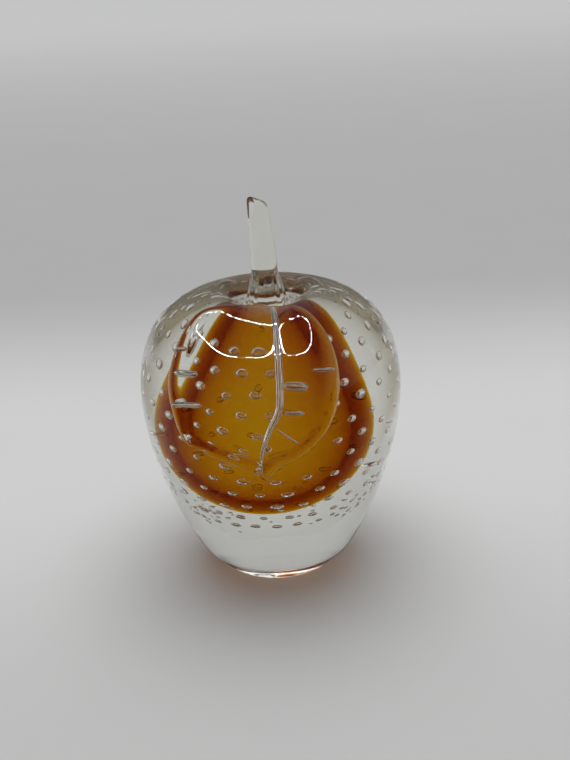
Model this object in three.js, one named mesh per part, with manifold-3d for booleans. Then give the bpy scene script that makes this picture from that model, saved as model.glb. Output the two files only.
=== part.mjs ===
// A solid glass fruit paperweight, worked hot from four gathers of glass with a leaf and a stem laid on.
// Every gather is a cup that wraps the one before it and ends in a neck under the stem, where the
// iron was cracked off: a clear heart, an amber overlay, a clear casing that was pressed into a pin
// mould, and the last clear casing, which has the fruit's shape. The leaf lies over the front of the
// crown and the stem stands in the dimple. Millimetres and degrees, +Z up, the leaf towards -Y, the
// origin in the middle of the flat base.
import * as THREE from "three";
import { mergeVertices } from "three/addons/utils/BufferGeometryUtils.js";
import Module from "manifold-3d";

// Fruit body
const BASE_RADIUS = 21.2; // flat foot that the fruit stands on
const BASE_EDGE = 0.8; // rounded edge of the foot
const BASE_FLARE = 47.5; // slope of the heel, the straight side just above the foot
const HEEL_HEIGHT = 7;
const FLARE_REACH = 3.2; // fullness of the side above the heel
const BELLY_RADIUS = 45;
const BELLY_HEIGHT = 66.3;
const BELLY_BELOW = 27.7; // fullness of the side under the belly
const BELLY_ABOVE = 20; // fullness of the shoulder over the belly
const CROWN_RADIUS = 17.9; // highest ring of the shoulder
const CROWN_HEIGHT = 99.8;
const CROWN_OUTSIDE = 17.6; // fullness of the shoulder outside the crown
const CROWN_INSIDE = 6; // fullness of the crown towards the dimple
const DIMPLE_DEPTH = 4.3; // from the crown down to the seat of the stem

// Amber egg inside, seen through the clear casings
const EGG_RADIUS = 25;
const EGG_HEIGHT = 56; // height of its widest ring
const EGG_BOTTOM = 29.2;
const EGG_BOTTOM_FULLNESS = 14;
const EGG_BELOW = 16;
const EGG_ABOVE = 17;
const EGG_LEAN_LEFT = 2; // how far the wide end sits left of the axis
const EGG_LEAN_FORWARD = 2;
const EGG_LEAN_ABOVE = 4; // it leans fully up to this much above its widest ring
const EGG_LEAN_END = 2.4; // it is upright this much under the foot of its neck
const AMBER_THICKNESS = 5; // wall of amber over the clear heart
const HEART_NECK_RADIUS = 1.6;
const AMBER_NECK_WALL = 1;

// Inner casing with the pin-mould pits that trap the bubbles
const CASING_BOTTOM = 10.5; // clear glass under the egg
const CASING_SIDE = 6.5; // clear glass beside the egg
const CASING_LIFT = 7; // its widest ring sits this much above the egg's
const CASING_BOTTOM_FULLNESS = 19;
const CASING_BELOW = 22;
const CASING_ABOVE = 20;
const CASING_SHOULDER = 13; // how far its shoulder stays level outside the neck
const CASING_TOP_COVER = 2.4; // last gather's glass between this shoulder and the stem's seat
const CASING_NECK_WALL = 1.5;
const PITS_AROUND = 20;
const PIT_ROW_PITCH = 5.7; // between staggered rows, along the surface
const PIT_FIRST_ROW = 21; // along the surface from the bottom
const PIT_LAST_ROW = 88;
const PIT_WIDTH = 2.4;
const PIT_DEPTH = 1.3;
const BARE_FROM = 1; // degrees from the front line between which the hot leaf closed the pits under it
const BARE_TO = 36;
const BARE_ABOVE = 48; // along the surface from the bottom

// Leaf, measured over the body: sideways from the fruit's front line, and down from the crown
const LEAF_RIB = [
  [1.4, -8], [2.6, 6], [3.1, 19], [3.3, 33], [2.6, 39.5],
  [-0.8, 46.3], [-2.9, 53.5], [-3.2, 59], [-2.2, 64],
];
const LEAF_LEFT_EDGE = [
  [1.4, -8], [-5.3, -1.5], [-13.9, 3.7], [-23.9, 12], [-31, 25.7],
  [-32.7, 36.4], [-27.6, 49.5], [-19.6, 53.9], [-7.9, 59.1], [-2.2, 64],
];
const LEAF_RIGHT_EDGE = [
  [1.4, -8], [3.4, -1.2], [11, 3.8], [17.4, 14.3], [21.8, 25.3],
  [22.2, 36.3], [18.5, 45.9], [10.7, 53.7], [2, 58.7], [-2.2, 64],
];
const LEAF_VALLEY = 1.6; // thickness along the rib
const LEAF_LEFT_CREST = 8.4; // height that the left half rises to, towards its rim
const LEAF_RIGHT_CREST = 5.4;
const LEAF_LEFT_HOLLOW = 0.7; // how hollow the rise is; a full one is below 0
const LEAF_RIGHT_HOLLOW = -0.5;
const LEAF_LEFT_RIM = 4.6; // width over which the rim rounds off
const LEAF_RIGHT_RIM = 4.8;
const LEAF_TOP_TAPER = 0.5; // share of its length over which it thickens from the stem
const LEAF_TIP_TAPER = 0.5; // share of its length over which it thins towards the tip
const LEAF_LEFT_TIP_SHARE = 0.72; // what is left of its thickness there
const LEAF_RIGHT_TIP_SHARE = 0.85;
const RIB_CHANNEL = 0.9; // height of the air channel under the rib

// Stem
const STEM_FOOT_RADIUS = 7.2;
const STEM_FOOT_FLARE = 11; // height over which the foot draws in
const STEM_FOOT_HOLLOW = 1.1; // 1 draws it in as a straight cone, more as a hollow one
const STEM_FILLET = 0.5; // how far the foot runs out over its seat
const STEM_FILLET_HEIGHT = 2.5;
const STEM_RADIUS = 4.6; // above the foot
const STEM_TIP_RADIUS = 3.3;
const STEM_LENGTH = 36;
const STEM_BEND = 1.7; // how far the tip leans to the left
const STEM_TIP_SLANT = 20; // slope of the sheared end, higher on the left
const STEM_TIP_BACK = 12; // and higher in front
const STEM_TIP_ROUNDING = 2;

// Fit and fineness
const GAP = 0.3; // between pieces that are fused in the real fruit
const TURN_STEPS = 48;
const INNER_TURN_STEPS = 40;
const PROFILE_STEP = 3.6;
const INNER_PROFILE_STEP = 6;
const LEAF_STATIONS = 22;
const LEAF_STRIPS = 10;
const LEAF_RIM_STEPS = 60;
const STEM_SIDES = 24;
const STEM_RINGS = [0, 0.03, 0.06, 0.1, 0.18, 0.25, 0.31, 0.42, 0.55, 0.67, 0.78, 0.88]; // shares of length
const STEM_TIP_STEPS = [0, 30, 60, 90]; // degrees round the edge of the tip
const WELD = 1e-3; // corners closer than this are one

// Heights and radii that follow from the driving dimensions
const SEAT_HEIGHT = CROWN_HEIGHT - DIMPLE_DEPTH;
const NECK_TOP = SEAT_HEIGHT - GAP;
const AMBER_NECK_RADIUS = HEART_NECK_RADIUS + GAP + AMBER_NECK_WALL;
const CASING_NECK_RADIUS = AMBER_NECK_RADIUS + GAP + CASING_NECK_WALL;
const BORE_RADIUS = CASING_NECK_RADIUS + GAP;
const SEAT_RADIUS = Math.max(STEM_FOOT_RADIUS + STEM_FILLET, BORE_RADIUS) + GAP;
const NECK_FOOT = NECK_TOP - CASING_TOP_COVER;
const EGG_NECK_FOOT = NECK_FOOT - CASING_TOP_COVER;

const wasm = await Module();
wasm.setup();

// A path in the half-plane of radius and height.
function halfPlanePath(start, ...curves) {
  const path = new THREE.Path();
  path.moveTo(start[0], start[1]);
  for (const curve of curves) {
    if (curve.length === 2) path.lineTo(...curve);
    else path.bezierCurveTo(...curve);
  }
  return path;
}

// Points at about equal steps along each curve of a path, its corners kept.
function pathPoints(path, step) {
  const points = [path.curves[0].getPointAt(0)];
  for (const curve of path.curves) {
    const count = Math.max(1, Math.round(curve.getLength() / step));
    for (let i = 1; i <= count; i += 1) points.push(curve.getPointAt(i / count));
  }
  return points;
}

// The point and the outward normal at a distance along a path that runs up the outside of a body.
function pathFrame(path, distance) {
  const share = THREE.MathUtils.clamp(distance / path.getLength(), 0, 1);
  const point = path.getPointAt(share);
  const along = path.getTangentAt(share);
  return { point, normal: new THREE.Vector2(along.y, -along.x) };
}

// A solid of revolution about +Z, from a profile that runs up the outside and back down the inside.
// From the profile's point leanFrom on, its rings sit off the axis as the egg does at their height.
function turned(points, steps, leanFrom = points.length) {
  const geometry = new THREE.LatheGeometry(points, steps);
  geometry.rotateX(Math.PI / 2);
  const position = geometry.getAttribute("position");
  for (let i = 0; i < position.count; i += 1) {
    if (i % points.length < leanFrom) continue;
    const upright = EGG_NECK_FOOT - EGG_LEAN_END;
    const share = 1 - THREE.MathUtils.smoothstep(position.getZ(i), EGG_HEIGHT + EGG_LEAN_ABOVE, upright);
    const x = position.getX(i) - EGG_LEAN_LEFT * share;
    position.setXY(i, x, position.getY(i) - EGG_LEAN_FORWARD * share);
  }
  return welded(geometry);
}

// The geometry with only its positions, shared corners joined and collapsed triangles dropped.
function welded(geometry) {
  geometry.deleteAttribute("normal");
  geometry.deleteAttribute("uv");
  const merged = mergeVertices(geometry, WELD);
  const kept = [];
  const corners = merged.index.array;
  for (let i = 0; i < corners.length; i += 3) {
    const [a, b, c] = corners.slice(i, i + 3);
    if (a !== b && b !== c && c !== a) kept.push(a, b, c);
  }
  merged.setIndex(kept);
  return merged;
}

function toSolid(geometry) {
  const vertProperties = new Float32Array(geometry.getAttribute("position").array);
  const triVerts = new Uint32Array(geometry.index.array);
  return new wasm.Manifold(new wasm.Mesh({ numProp: 3, vertProperties, triVerts }));
}

function toGeometry(solid) {
  const mesh = solid.getMesh();
  const geometry = new THREE.BufferGeometry();
  geometry.setAttribute("position", new THREE.BufferAttribute(mesh.vertProperties, 3));
  geometry.setIndex(new THREE.BufferAttribute(mesh.triVerts, 1));
  return geometry;
}

// A profile moved outwards by a clearance, with its axis points kept on the axis.
function offsetPoints(points, clearance) {
  return points.map((point, i) => {
    const before = points[Math.max(i - 1, 0)];
    const after = points[Math.min(i + 1, points.length - 1)];
    const along = after.clone().sub(before).normalize();
    const moved = new THREE.Vector2(point.x + along.y * clearance, point.y - along.x * clearance);
    if (point.x === 0) moved.set(0, point.y - clearance);
    return moved;
  });
}

// The outside of a gather: a round bottom on the axis, a widest ring and a shoulder that meets the neck.
function gatherPath(size) {
  const { bottom, radius, height, neckRadius, neckFoot } = size;
  return halfPlanePath(
    [0, bottom],
    [size.bottomFullness, bottom, radius, height - size.below, radius, height],
    [radius, height + size.above, neckRadius + size.shoulder, neckFoot, neckRadius, neckFoot],
  );
}

// A cup: the outside of one gather over the outside of the last, with both necks ending level.
// The hollow leans with the egg, and the outside too if it is the egg's own.
function cup(outside, neckRadius, inside, boreRadius, leansOutside) {
  const hollow = offsetPoints(inside, GAP).filter((point) => point.y < NECK_TOP);
  hollow[hollow.length - 1].x = boreRadius;
  const rim = [new THREE.Vector2(neckRadius, NECK_TOP), new THREE.Vector2(boreRadius, NECK_TOP)];
  const leanFrom = leansOutside ? 0 : outside.length;
  return turned([...outside, ...rim, ...hollow.reverse()], INNER_TURN_STEPS, leanFrom);
}

// Outsides of the heart, the amber overlay and the inner casing
const EGG_PATH = gatherPath({
  bottom: EGG_BOTTOM,
  bottomFullness: EGG_BOTTOM_FULLNESS,
  radius: EGG_RADIUS,
  height: EGG_HEIGHT,
  below: EGG_BELOW,
  above: EGG_ABOVE,
  shoulder: AMBER_THICKNESS,
  neckRadius: AMBER_NECK_RADIUS,
  neckFoot: EGG_NECK_FOOT,
});
const HEART_PATH = gatherPath({
  bottom: EGG_BOTTOM + AMBER_THICKNESS,
  bottomFullness: EGG_BOTTOM_FULLNESS - AMBER_THICKNESS / 2,
  radius: EGG_RADIUS - AMBER_THICKNESS,
  height: EGG_HEIGHT,
  below: EGG_BELOW - AMBER_THICKNESS / 2,
  above: EGG_ABOVE - AMBER_THICKNESS / 2,
  shoulder: AMBER_THICKNESS / 2,
  neckRadius: HEART_NECK_RADIUS,
  neckFoot: EGG_NECK_FOOT - AMBER_THICKNESS,
});
const CASING_PATH = gatherPath({
  bottom: EGG_BOTTOM - CASING_BOTTOM,
  bottomFullness: CASING_BOTTOM_FULLNESS,
  radius: EGG_RADIUS + CASING_SIDE,
  height: EGG_HEIGHT + CASING_LIFT,
  below: CASING_BELOW,
  above: CASING_ABOVE,
  shoulder: CASING_SHOULDER,
  neckRadius: CASING_NECK_RADIUS,
  neckFoot: NECK_FOOT,
});

// Outside of the fruit, from the edge of the foot up over the crown to the seat of the stem
const FLARE = new THREE.Vector2(1, 0).rotateAround(new THREE.Vector2(), THREE.MathUtils.degToRad(BASE_FLARE));
const SIDE_START = [BASE_RADIUS + FLARE.x * BASE_EDGE, FLARE.y * BASE_EDGE];
const HEEL = [BASE_RADIUS + (FLARE.x / FLARE.y) * HEEL_HEIGHT, HEEL_HEIGHT];
const FRUIT_PATH = halfPlanePath(
  [BASE_RADIUS - BASE_EDGE, 0],
  [BASE_RADIUS, 0, BASE_RADIUS, 0, ...SIDE_START],
  HEEL,
  [
    HEEL[0] + FLARE.x * FLARE_REACH, HEEL[1] + FLARE.y * FLARE_REACH,
    BELLY_RADIUS, BELLY_HEIGHT - BELLY_BELOW,
    BELLY_RADIUS, BELLY_HEIGHT,
  ],
  [
    BELLY_RADIUS, BELLY_HEIGHT + BELLY_ABOVE,
    CROWN_RADIUS + CROWN_OUTSIDE, CROWN_HEIGHT,
    CROWN_RADIUS, CROWN_HEIGHT,
  ],
  [
    CROWN_RADIUS - CROWN_INSIDE, CROWN_HEIGHT,
    SEAT_RADIUS + CROWN_INSIDE / 2, SEAT_HEIGHT,
    SEAT_RADIUS, SEAT_HEIGHT,
  ],
);
const CROWN_DISTANCE = FRUIT_PATH.curves.slice(0, 4).reduce((sum, curve) => sum + curve.getLength(), 0);

function makeHeart() {
  const outside = pathPoints(HEART_PATH, INNER_PROFILE_STEP);
  const top = [new THREE.Vector2(HEART_NECK_RADIUS, NECK_TOP), new THREE.Vector2(0, NECK_TOP)];
  return turned([...outside, ...top], INNER_TURN_STEPS, 0);
}

function makeAmberOverlay() {
  const heart = pathPoints(HEART_PATH, INNER_PROFILE_STEP);
  const outside = pathPoints(EGG_PATH, INNER_PROFILE_STEP);
  return cup(outside, AMBER_NECK_RADIUS, heart, HEART_NECK_RADIUS + GAP, true);
}

// The pits are four-sided, on staggered rows, each cut straight into the casing's surface. None are left
// under the leaf's right half.
function makeInnerCasing() {
  const egg = pathPoints(EGG_PATH, INNER_PROFILE_STEP);
  const boreRadius = AMBER_NECK_RADIUS + GAP;
  const outside = pathPoints(CASING_PATH, INNER_PROFILE_STEP);
  const plain = cup(outside, CASING_NECK_RADIUS, egg, boreRadius, false);
  const rows = Math.floor((PIT_LAST_ROW - PIT_FIRST_ROW) / PIT_ROW_PITCH) + 1;
  const pits = [];
  for (let row = 0; row < rows; row += 1) {
    const distance = PIT_FIRST_ROW + row * PIT_ROW_PITCH;
    const { point, normal } = pathFrame(CASING_PATH, distance);
    for (let i = 0; i < PITS_AROUND; i += 1) {
      const fromFront = ((i + (row % 2) / 2) / PITS_AROUND) * 360;
      if (distance > BARE_ABOVE && fromFront > BARE_FROM && fromFront < BARE_TO) continue;
      const pin = new THREE.OctahedronGeometry(1);
      pin.scale(PIT_WIDTH / 2, PIT_WIDTH / 2, PIT_DEPTH);
      pin.rotateY(Math.PI / 2 - Math.atan2(normal.y, normal.x));
      pin.translate(point.x, 0, point.y);
      pin.rotateZ(THREE.MathUtils.degToRad(fromFront) - Math.PI / 2);
      pits.push(toSolid(welded(pin)));
    }
  }
  return toGeometry(toSolid(plain).subtract(wasm.Manifold.union(pits)));
}

function makeOuterCasing() {
  const outside = [new THREE.Vector2(0, 0), ...pathPoints(FRUIT_PATH, PROFILE_STEP)];
  const hollow = offsetPoints(pathPoints(CASING_PATH, INNER_PROFILE_STEP), GAP);
  hollow[hollow.length - 1].x = BORE_RADIUS;
  const mouth = new THREE.Vector2(BORE_RADIUS, SEAT_HEIGHT);
  return turned([...outside, mouth, ...hollow.reverse()], TURN_STEPS);
}

// A point over the fruit: sideways from the front line, down from the crown, and out from the surface.
function overFruit(sideways, down, out) {
  const { point, normal } = pathFrame(FRUIT_PATH, CROWN_DISTANCE - down);
  const turn = sideways / point.x;
  const radius = point.x + normal.x * out;
  return new THREE.Vector3(radius * Math.sin(turn), -radius * Math.cos(turn), point.y + normal.y * out);
}

// Thickness of the leaf across one half, from its rib (0) to its rim (1), before it is tapered.
function leafRise(across, half) {
  return LEAF_VALLEY + (half.crest - LEAF_VALLEY) * (across + half.hollow * (across * across - across));
}

// How much of that the leaf has at a share of its length, from the stem (0) to the tip (1), and at a
// distance inside its rim, where it rounds off like the edge of a drop.
function leafTaper(along, inset, half) {
  const top = Math.sin((Math.PI / 2) * Math.min(1, along / LEAF_TOP_TAPER));
  const toTip = THREE.MathUtils.smoothstep(along, 1 - LEAF_TIP_TAPER, 1);
  const overRim = 1 - Math.min(1, inset / half.rim);
  return top * THREE.MathUtils.lerp(1, half.tipShare, toTip) * Math.sqrt(1 - overRim * overRim);
}

// The least distance from a spot to a curve, taken as straight pieces.
function distanceToCurve(spot, curve) {
  const from = new THREE.Vector3(spot.x, spot.y, 0);
  const points = curve.getSpacedPoints(LEAF_RIM_STEPS).map((point) => new THREE.Vector3(point.x, point.y, 0));
  const distances = points.slice(1).map((point, i) => {
    const foot = new THREE.Line3(points[i], point).closestPointToPoint(from, true, new THREE.Vector3());
    return foot.distanceTo(from);
  });
  return Math.min(...distances);
}

// Each half of the leaf is a net of lines from the rib to the rim, once over its top and once under it.
// The lines crowd towards the rim, where the surface turns fastest, and the halves share the left one's rib.
function makeLeaf() {
  const curveOf = (points) => new THREE.SplineCurve(points.map((point) => new THREE.Vector2(...point)));
  const rib = curveOf(LEAF_RIB);
  const left = {
    edge: curveOf(LEAF_LEFT_EDGE),
    crest: LEAF_LEFT_CREST,
    hollow: LEAF_LEFT_HOLLOW,
    rim: LEAF_LEFT_RIM,
    tipShare: LEAF_LEFT_TIP_SHARE,
  };
  const right = {
    edge: curveOf(LEAF_RIGHT_EDGE),
    crest: LEAF_RIGHT_CREST,
    hollow: LEAF_RIGHT_HOLLOW,
    rim: LEAF_RIGHT_RIM,
    tipShare: LEAF_RIGHT_TIP_SHARE,
  };
  const netPoint = (station, strip, half) => {
    const along = station / LEAF_STATIONS;
    const across = Math.sin((Math.PI / 2) * (strip / LEAF_STRIPS));
    const spot = rib.getPointAt(along).lerp(half.edge.getPointAt(along), across);
    const inset = strip === LEAF_STRIPS ? 0 : distanceToCurve(spot, half.edge);
    const taper = leafTaper(along, inset, half);
    const channel = strip === 0 ? RIB_CHANNEL : 0;
    return {
      top: overFruit(spot.x, spot.y, GAP + leafRise(across, half) * taper),
      under: overFruit(spot.x, spot.y, GAP + channel * taper),
    };
  };
  const corners = [];
  const addFace = (a, b, c, turnedRound) => corners.push(...(turnedRound ? [a, c, b] : [a, b, c]));
  for (const half of [left, right]) {
    const net = [];
    for (let station = 0; station <= LEAF_STATIONS; station += 1) {
      net.push([netPoint(station, 0, left)]);
      for (let strip = 1; strip <= LEAF_STRIPS; strip += 1) net[station].push(netPoint(station, strip, half));
    }
    for (let station = 0; station < LEAF_STATIONS; station += 1) {
      for (let strip = 0; strip < LEAF_STRIPS; strip += 1) {
        for (const face of ["top", "under"]) {
          const near = net[station][strip][face];
          const nearOut = net[station][strip + 1][face];
          const far = net[station + 1][strip][face];
          const farOut = net[station + 1][strip + 1][face];
          const turnedRound = (half === left) === (face === "top");
          addFace(near, far, nearOut, turnedRound);
          addFace(nearOut, far, farOut, turnedRound);
        }
      }
    }
  }
  return welded(new THREE.BufferGeometry().setFromPoints(corners));
}

// Rings from the foot to the sheared tip; the tip's last rings draw in to round its edge.
function makeStem() {
  const slant = Math.tan(THREE.MathUtils.degToRad(STEM_TIP_SLANT));
  const back = Math.tan(THREE.MathUtils.degToRad(STEM_TIP_BACK));
  const foot = SEAT_HEIGHT + GAP;
  const radiusAt = (height) => {
    const flare = Math.max(0, 1 - height / STEM_FOOT_FLARE);
    const taper = THREE.MathUtils.lerp(STEM_RADIUS, STEM_TIP_RADIUS, (height / STEM_LENGTH) ** 2);
    const fillet = STEM_FILLET * Math.max(0, 1 - height / STEM_FILLET_HEIGHT) ** 2;
    return taper + (STEM_FOOT_RADIUS - STEM_RADIUS) * flare ** STEM_FOOT_HOLLOW + fillet;
  };
  const ring = (height, inset) => {
    const share = height / STEM_LENGTH;
    const radius = radiusAt(height) - inset;
    const points = [];
    for (let i = 0; i < STEM_SIDES; i += 1) {
      const turn = (i / STEM_SIDES) * 2 * Math.PI;
      const x = radius * Math.cos(turn);
      const y = radius * Math.sin(turn);
      const lift = height - (x * slant + y * back) * share ** 4;
      points.push(new THREE.Vector3(x - STEM_BEND * share ** 2, y, foot + lift));
    }
    return points;
  };
  const rings = STEM_RINGS.map((share) => ring(share * STEM_LENGTH, 0));
  for (const rounding of STEM_TIP_STEPS.map(THREE.MathUtils.degToRad)) {
    const drop = STEM_TIP_ROUNDING * (1 - Math.sin(rounding));
    rings.push(ring(STEM_LENGTH - drop, STEM_TIP_ROUNDING * (1 - Math.cos(rounding))));
  }
  const middleOf = (points) =>
    points.reduce((sum, point) => sum.add(point), new THREE.Vector3()).divideScalar(points.length);
  const corners = [];
  const first = rings[0];
  const last = rings[rings.length - 1];
  for (let i = 0; i < STEM_SIDES; i += 1) {
    const next = (i + 1) % STEM_SIDES;
    corners.push(middleOf(first), first[next], first[i]);
    corners.push(middleOf(last), last[i], last[next]);
    for (let j = 0; j + 1 < rings.length; j += 1) {
      corners.push(rings[j][i], rings[j][next], rings[j + 1][next]);
      corners.push(rings[j][i], rings[j + 1][next], rings[j + 1][i]);
    }
  }
  return welded(new THREE.BufferGeometry().setFromPoints(corners));
}

const CLEAR_GLASS = { color: 0xe9efec, roughness: 0.03, metalness: 0, transparent: true, opacity: 0.35 };
const AMBER_GLASS = { color: 0xb5650a, roughness: 0.03, metalness: 0, transparent: true, opacity: 0.85 };

const fruit = new THREE.Group();
for (const [name, geometry, look] of [
  ["heart", makeHeart(), CLEAR_GLASS],
  ["amber_overlay", makeAmberOverlay(), AMBER_GLASS],
  ["inner_casing", makeInnerCasing(), CLEAR_GLASS],
  ["outer_casing", makeOuterCasing(), CLEAR_GLASS],
  ["leaf", makeLeaf(), CLEAR_GLASS],
  ["stem", makeStem(), CLEAR_GLASS],
]) {
  const mesh = new THREE.Mesh(geometry, new THREE.MeshStandardMaterial(look));
  mesh.name = name;
  fruit.add(mesh);
}

export default fruit;
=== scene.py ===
"""Looks of a solid glass fruit paperweight: clear casings over an amber egg, bubbles, a leaf and a stem.

Each piece is a surface worked out on a grid in millimetres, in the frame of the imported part: +Z up, the
leaf towards -Y, the origin in the middle of the flat base. Where two pieces are fused in the real fruit,
their meeting faces wear a coat that lets light through unbent, so that light bends only where glass
meets air: on the outside of the fruit and in the trapped bubbles.
"""

from __future__ import annotations

import logging
import math
from dataclasses import dataclass, field
from enum import IntEnum

import bmesh
import bpy
import numpy as np
from mathutils import Matrix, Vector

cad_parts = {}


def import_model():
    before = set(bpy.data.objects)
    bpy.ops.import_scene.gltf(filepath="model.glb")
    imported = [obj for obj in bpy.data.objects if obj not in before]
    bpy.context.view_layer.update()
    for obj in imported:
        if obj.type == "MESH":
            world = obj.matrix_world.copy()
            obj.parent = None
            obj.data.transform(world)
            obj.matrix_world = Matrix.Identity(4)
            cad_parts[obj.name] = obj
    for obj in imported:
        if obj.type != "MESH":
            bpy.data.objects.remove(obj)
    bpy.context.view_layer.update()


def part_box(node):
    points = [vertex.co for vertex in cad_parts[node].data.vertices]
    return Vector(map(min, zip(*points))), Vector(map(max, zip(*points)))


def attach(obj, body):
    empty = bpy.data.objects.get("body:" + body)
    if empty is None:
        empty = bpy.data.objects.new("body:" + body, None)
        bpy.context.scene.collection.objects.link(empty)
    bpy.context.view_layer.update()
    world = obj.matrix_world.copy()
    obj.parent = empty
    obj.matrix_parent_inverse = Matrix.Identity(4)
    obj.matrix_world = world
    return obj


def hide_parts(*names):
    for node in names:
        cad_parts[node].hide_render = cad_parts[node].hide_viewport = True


LOG = logging.getLogger("glass_fruit")
MM = 0.001
BODY = "root"
WHITE = "#ffffff"
GLASS_IOR = 1.5
# Millimetres between pieces that are fused in the real fruit.
GAP = 0.3
# Metres within which points of a mesh are merged.
MERGE_DISTANCE = 1e-7
# Setting of a map range node that is level at both ends.
SMOOTH = {"interpolation_type": "SMOOTHSTEP"}


class Coat(IntEnum):
    """Material slots that every piece of the fruit has, in this order."""

    SKIN = 0
    SEAM = 1
    AIR = 2


# Colours and shader nodes


def linear(colour: str) -> tuple[float, float, float, float]:
    """Turns an sRGB hex colour into linear red, green, blue and an alpha of 1.

    Args:
        colour: six hex digits after a hash sign.

    Returns:
        The linear colour as four numbers.
    """
    channels = np.array([int(colour[i : i + 2], 16) for i in (1, 3, 5)]) / 255.0
    low = channels / 12.92
    high = ((channels + 0.055) / 1.055) ** 2.4
    red, green, blue = np.where(channels <= 0.04045, low, high)
    return float(red), float(green), float(blue), 1.0


def add_node(
    tree: bpy.types.NodeTree,
    kind: str,
    sockets: dict[str | int, object] | None = None,
    **settings: object,
) -> bpy.types.Node:
    """Adds one node and sets it up.

    Args:
        tree: the node tree that gets the node.
        kind: the node's type name.
        sockets: inputs by name or number; a value that is an output socket is linked.
        settings: properties of the node itself.

    Returns:
        The new node.
    """
    node = tree.nodes.new(kind)
    for name, value in settings.items():
        setattr(node, name, value)
    for name, value in (sockets or {}).items():
        if isinstance(value, bpy.types.NodeSocket):
            tree.links.new(value, node.inputs[name])
        else:
            node.inputs[name].default_value = value
    return node


def empty_material(name: str) -> tuple[bpy.types.Material, bpy.types.NodeTree]:
    """Makes a material whose node tree is empty.

    Args:
        name: the material's name.

    Returns:
        The material and its node tree.
    """
    material = bpy.data.materials.new(name)
    material.use_nodes = True
    material.node_tree.nodes.clear()
    return material, material.node_tree


@dataclass(frozen=True)
class Ramp:
    """A level that goes from one value to another between two places."""

    start: float
    end: float
    before: float = 0.0
    after: float = 1.0

    def sockets(self, place: bpy.types.NodeSocket, length: float = 1.0) -> dict[str | int, object]:
        """Inputs of a map range node that gives the level at a place.

        Args:
            place: the socket that holds the place.
            length: metres in the unit of the ramp's two places.

        Returns:
            The inputs by name.
        """
        return {
            "Value": place,
            "From Min": self.start * length,
            "From Max": self.end * length,
            "To Min": self.before,
            "To Max": self.after,
        }


# Finishes


@dataclass(frozen=True)
class ClearGlass:
    """Clear crystal, fire polished: a wet, mirror-smooth skin with faint slow ripples."""

    name: str = "clear_crystal_fire_polished"
    colour: str = "#f0f0ea"
    ripple_mm: float = 11.0
    ripple_height_mm: float = 0.012

    def material(self) -> bpy.types.Material:
        """Builds the material: full transmission, with ripples left by the tools as a faint bump.

        Returns:
            The material.
        """
        material, tree = empty_material(self.name)
        place = add_node(tree, "ShaderNodeTexCoord").outputs["Object"]
        scale = 1.0 / (self.ripple_mm * MM)
        ripple = add_node(tree, "ShaderNodeTexNoise", {"Vector": place, "Scale": scale, "Detail": 1.0})
        bump = add_node(
            tree,
            "ShaderNodeBump",
            {"Height": ripple.outputs["Fac"], "Strength": 1.0, "Distance": self.ripple_height_mm * MM},
        )
        shader = add_node(
            tree,
            "ShaderNodeBsdfPrincipled",
            {
                "Base Color": linear(self.colour),
                "Roughness": 0.0,
                "IOR": GLASS_IOR,
                "Transmission Weight": 1.0,
                "Normal": bump.outputs["Normal"],
            },
        )
        add_node(tree, "ShaderNodeOutputMaterial", {"Surface": shader.outputs["BSDF"]})
        return material


@dataclass(frozen=True)
class CasedGlass:
    """Glass that lies wholly inside other glass: its own surface bends nothing, only its body shows.

    The absorption is per millimetre of glass, in red, green and blue. None leaves the glass clear.
    """

    name: str
    absorption: tuple[float, float, float] | None = None

    def material(self) -> bpy.types.Material:
        """Builds the material: an index-matched surface and, for coloured glass, an absorbing body.

        Returns:
            The material.
        """
        material, tree = empty_material(self.name)
        shader = add_node(
            tree,
            "ShaderNodeBsdfPrincipled",
            {"Base Color": linear(WHITE), "Roughness": 0.0, "IOR": 1.0, "Transmission Weight": 1.0},
        )
        output = add_node(tree, "ShaderNodeOutputMaterial", {"Surface": shader.outputs["BSDF"]})
        if self.absorption:
            strongest = max(self.absorption)
            passed = [1.0 - share / strongest for share in self.absorption]
            body = add_node(
                tree, "ShaderNodeVolumeAbsorption", {"Color": (*passed, 1.0), "Density": strongest / MM}
            )
            tree.links.new(body.outputs["Volume"], output.inputs["Volume"])
        return material


@dataclass(frozen=True)
class FusedSeam:
    """Faces where two pieces of hot glass were pressed together: nothing shows there."""

    name: str = "fused_glass_seam"

    def material(self) -> bpy.types.Material:
        """Builds the material: light goes straight through.

        Returns:
            The material.
        """
        material, tree = empty_material(self.name)
        shader = add_node(tree, "ShaderNodeBsdfTransparent", {"Color": linear(WHITE)})
        add_node(tree, "ShaderNodeOutputMaterial", {"Surface": shader.outputs["BSDF"]})
        return material


@dataclass(frozen=True)
class TrappedAir:
    """The wall of an air pocket in glass: bright as mercury where it mirrors, clear in its middle."""

    name: str = "trapped_air_in_glass"

    def material(self) -> bpy.types.Material:
        """Builds the material: a glass surface seen from the glass side, so its index is the inverse.

        Returns:
            The material.
        """
        material, tree = empty_material(self.name)
        shader = add_node(
            tree, "ShaderNodeBsdfGlass", {"Color": linear(WHITE), "Roughness": 0.0, "IOR": 1.0 / GLASS_IOR}
        )
        add_node(tree, "ShaderNodeOutputMaterial", {"Surface": shader.outputs["BSDF"]})
        return material


CLEAR_GLASS = ClearGlass()
CLEAR_CASED_GLASS = CasedGlass("clear_glass_cased")
AMBER_CASED_GLASS = CasedGlass("amber_glass_cased", (0.054, 0.137, 0.6))


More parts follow.
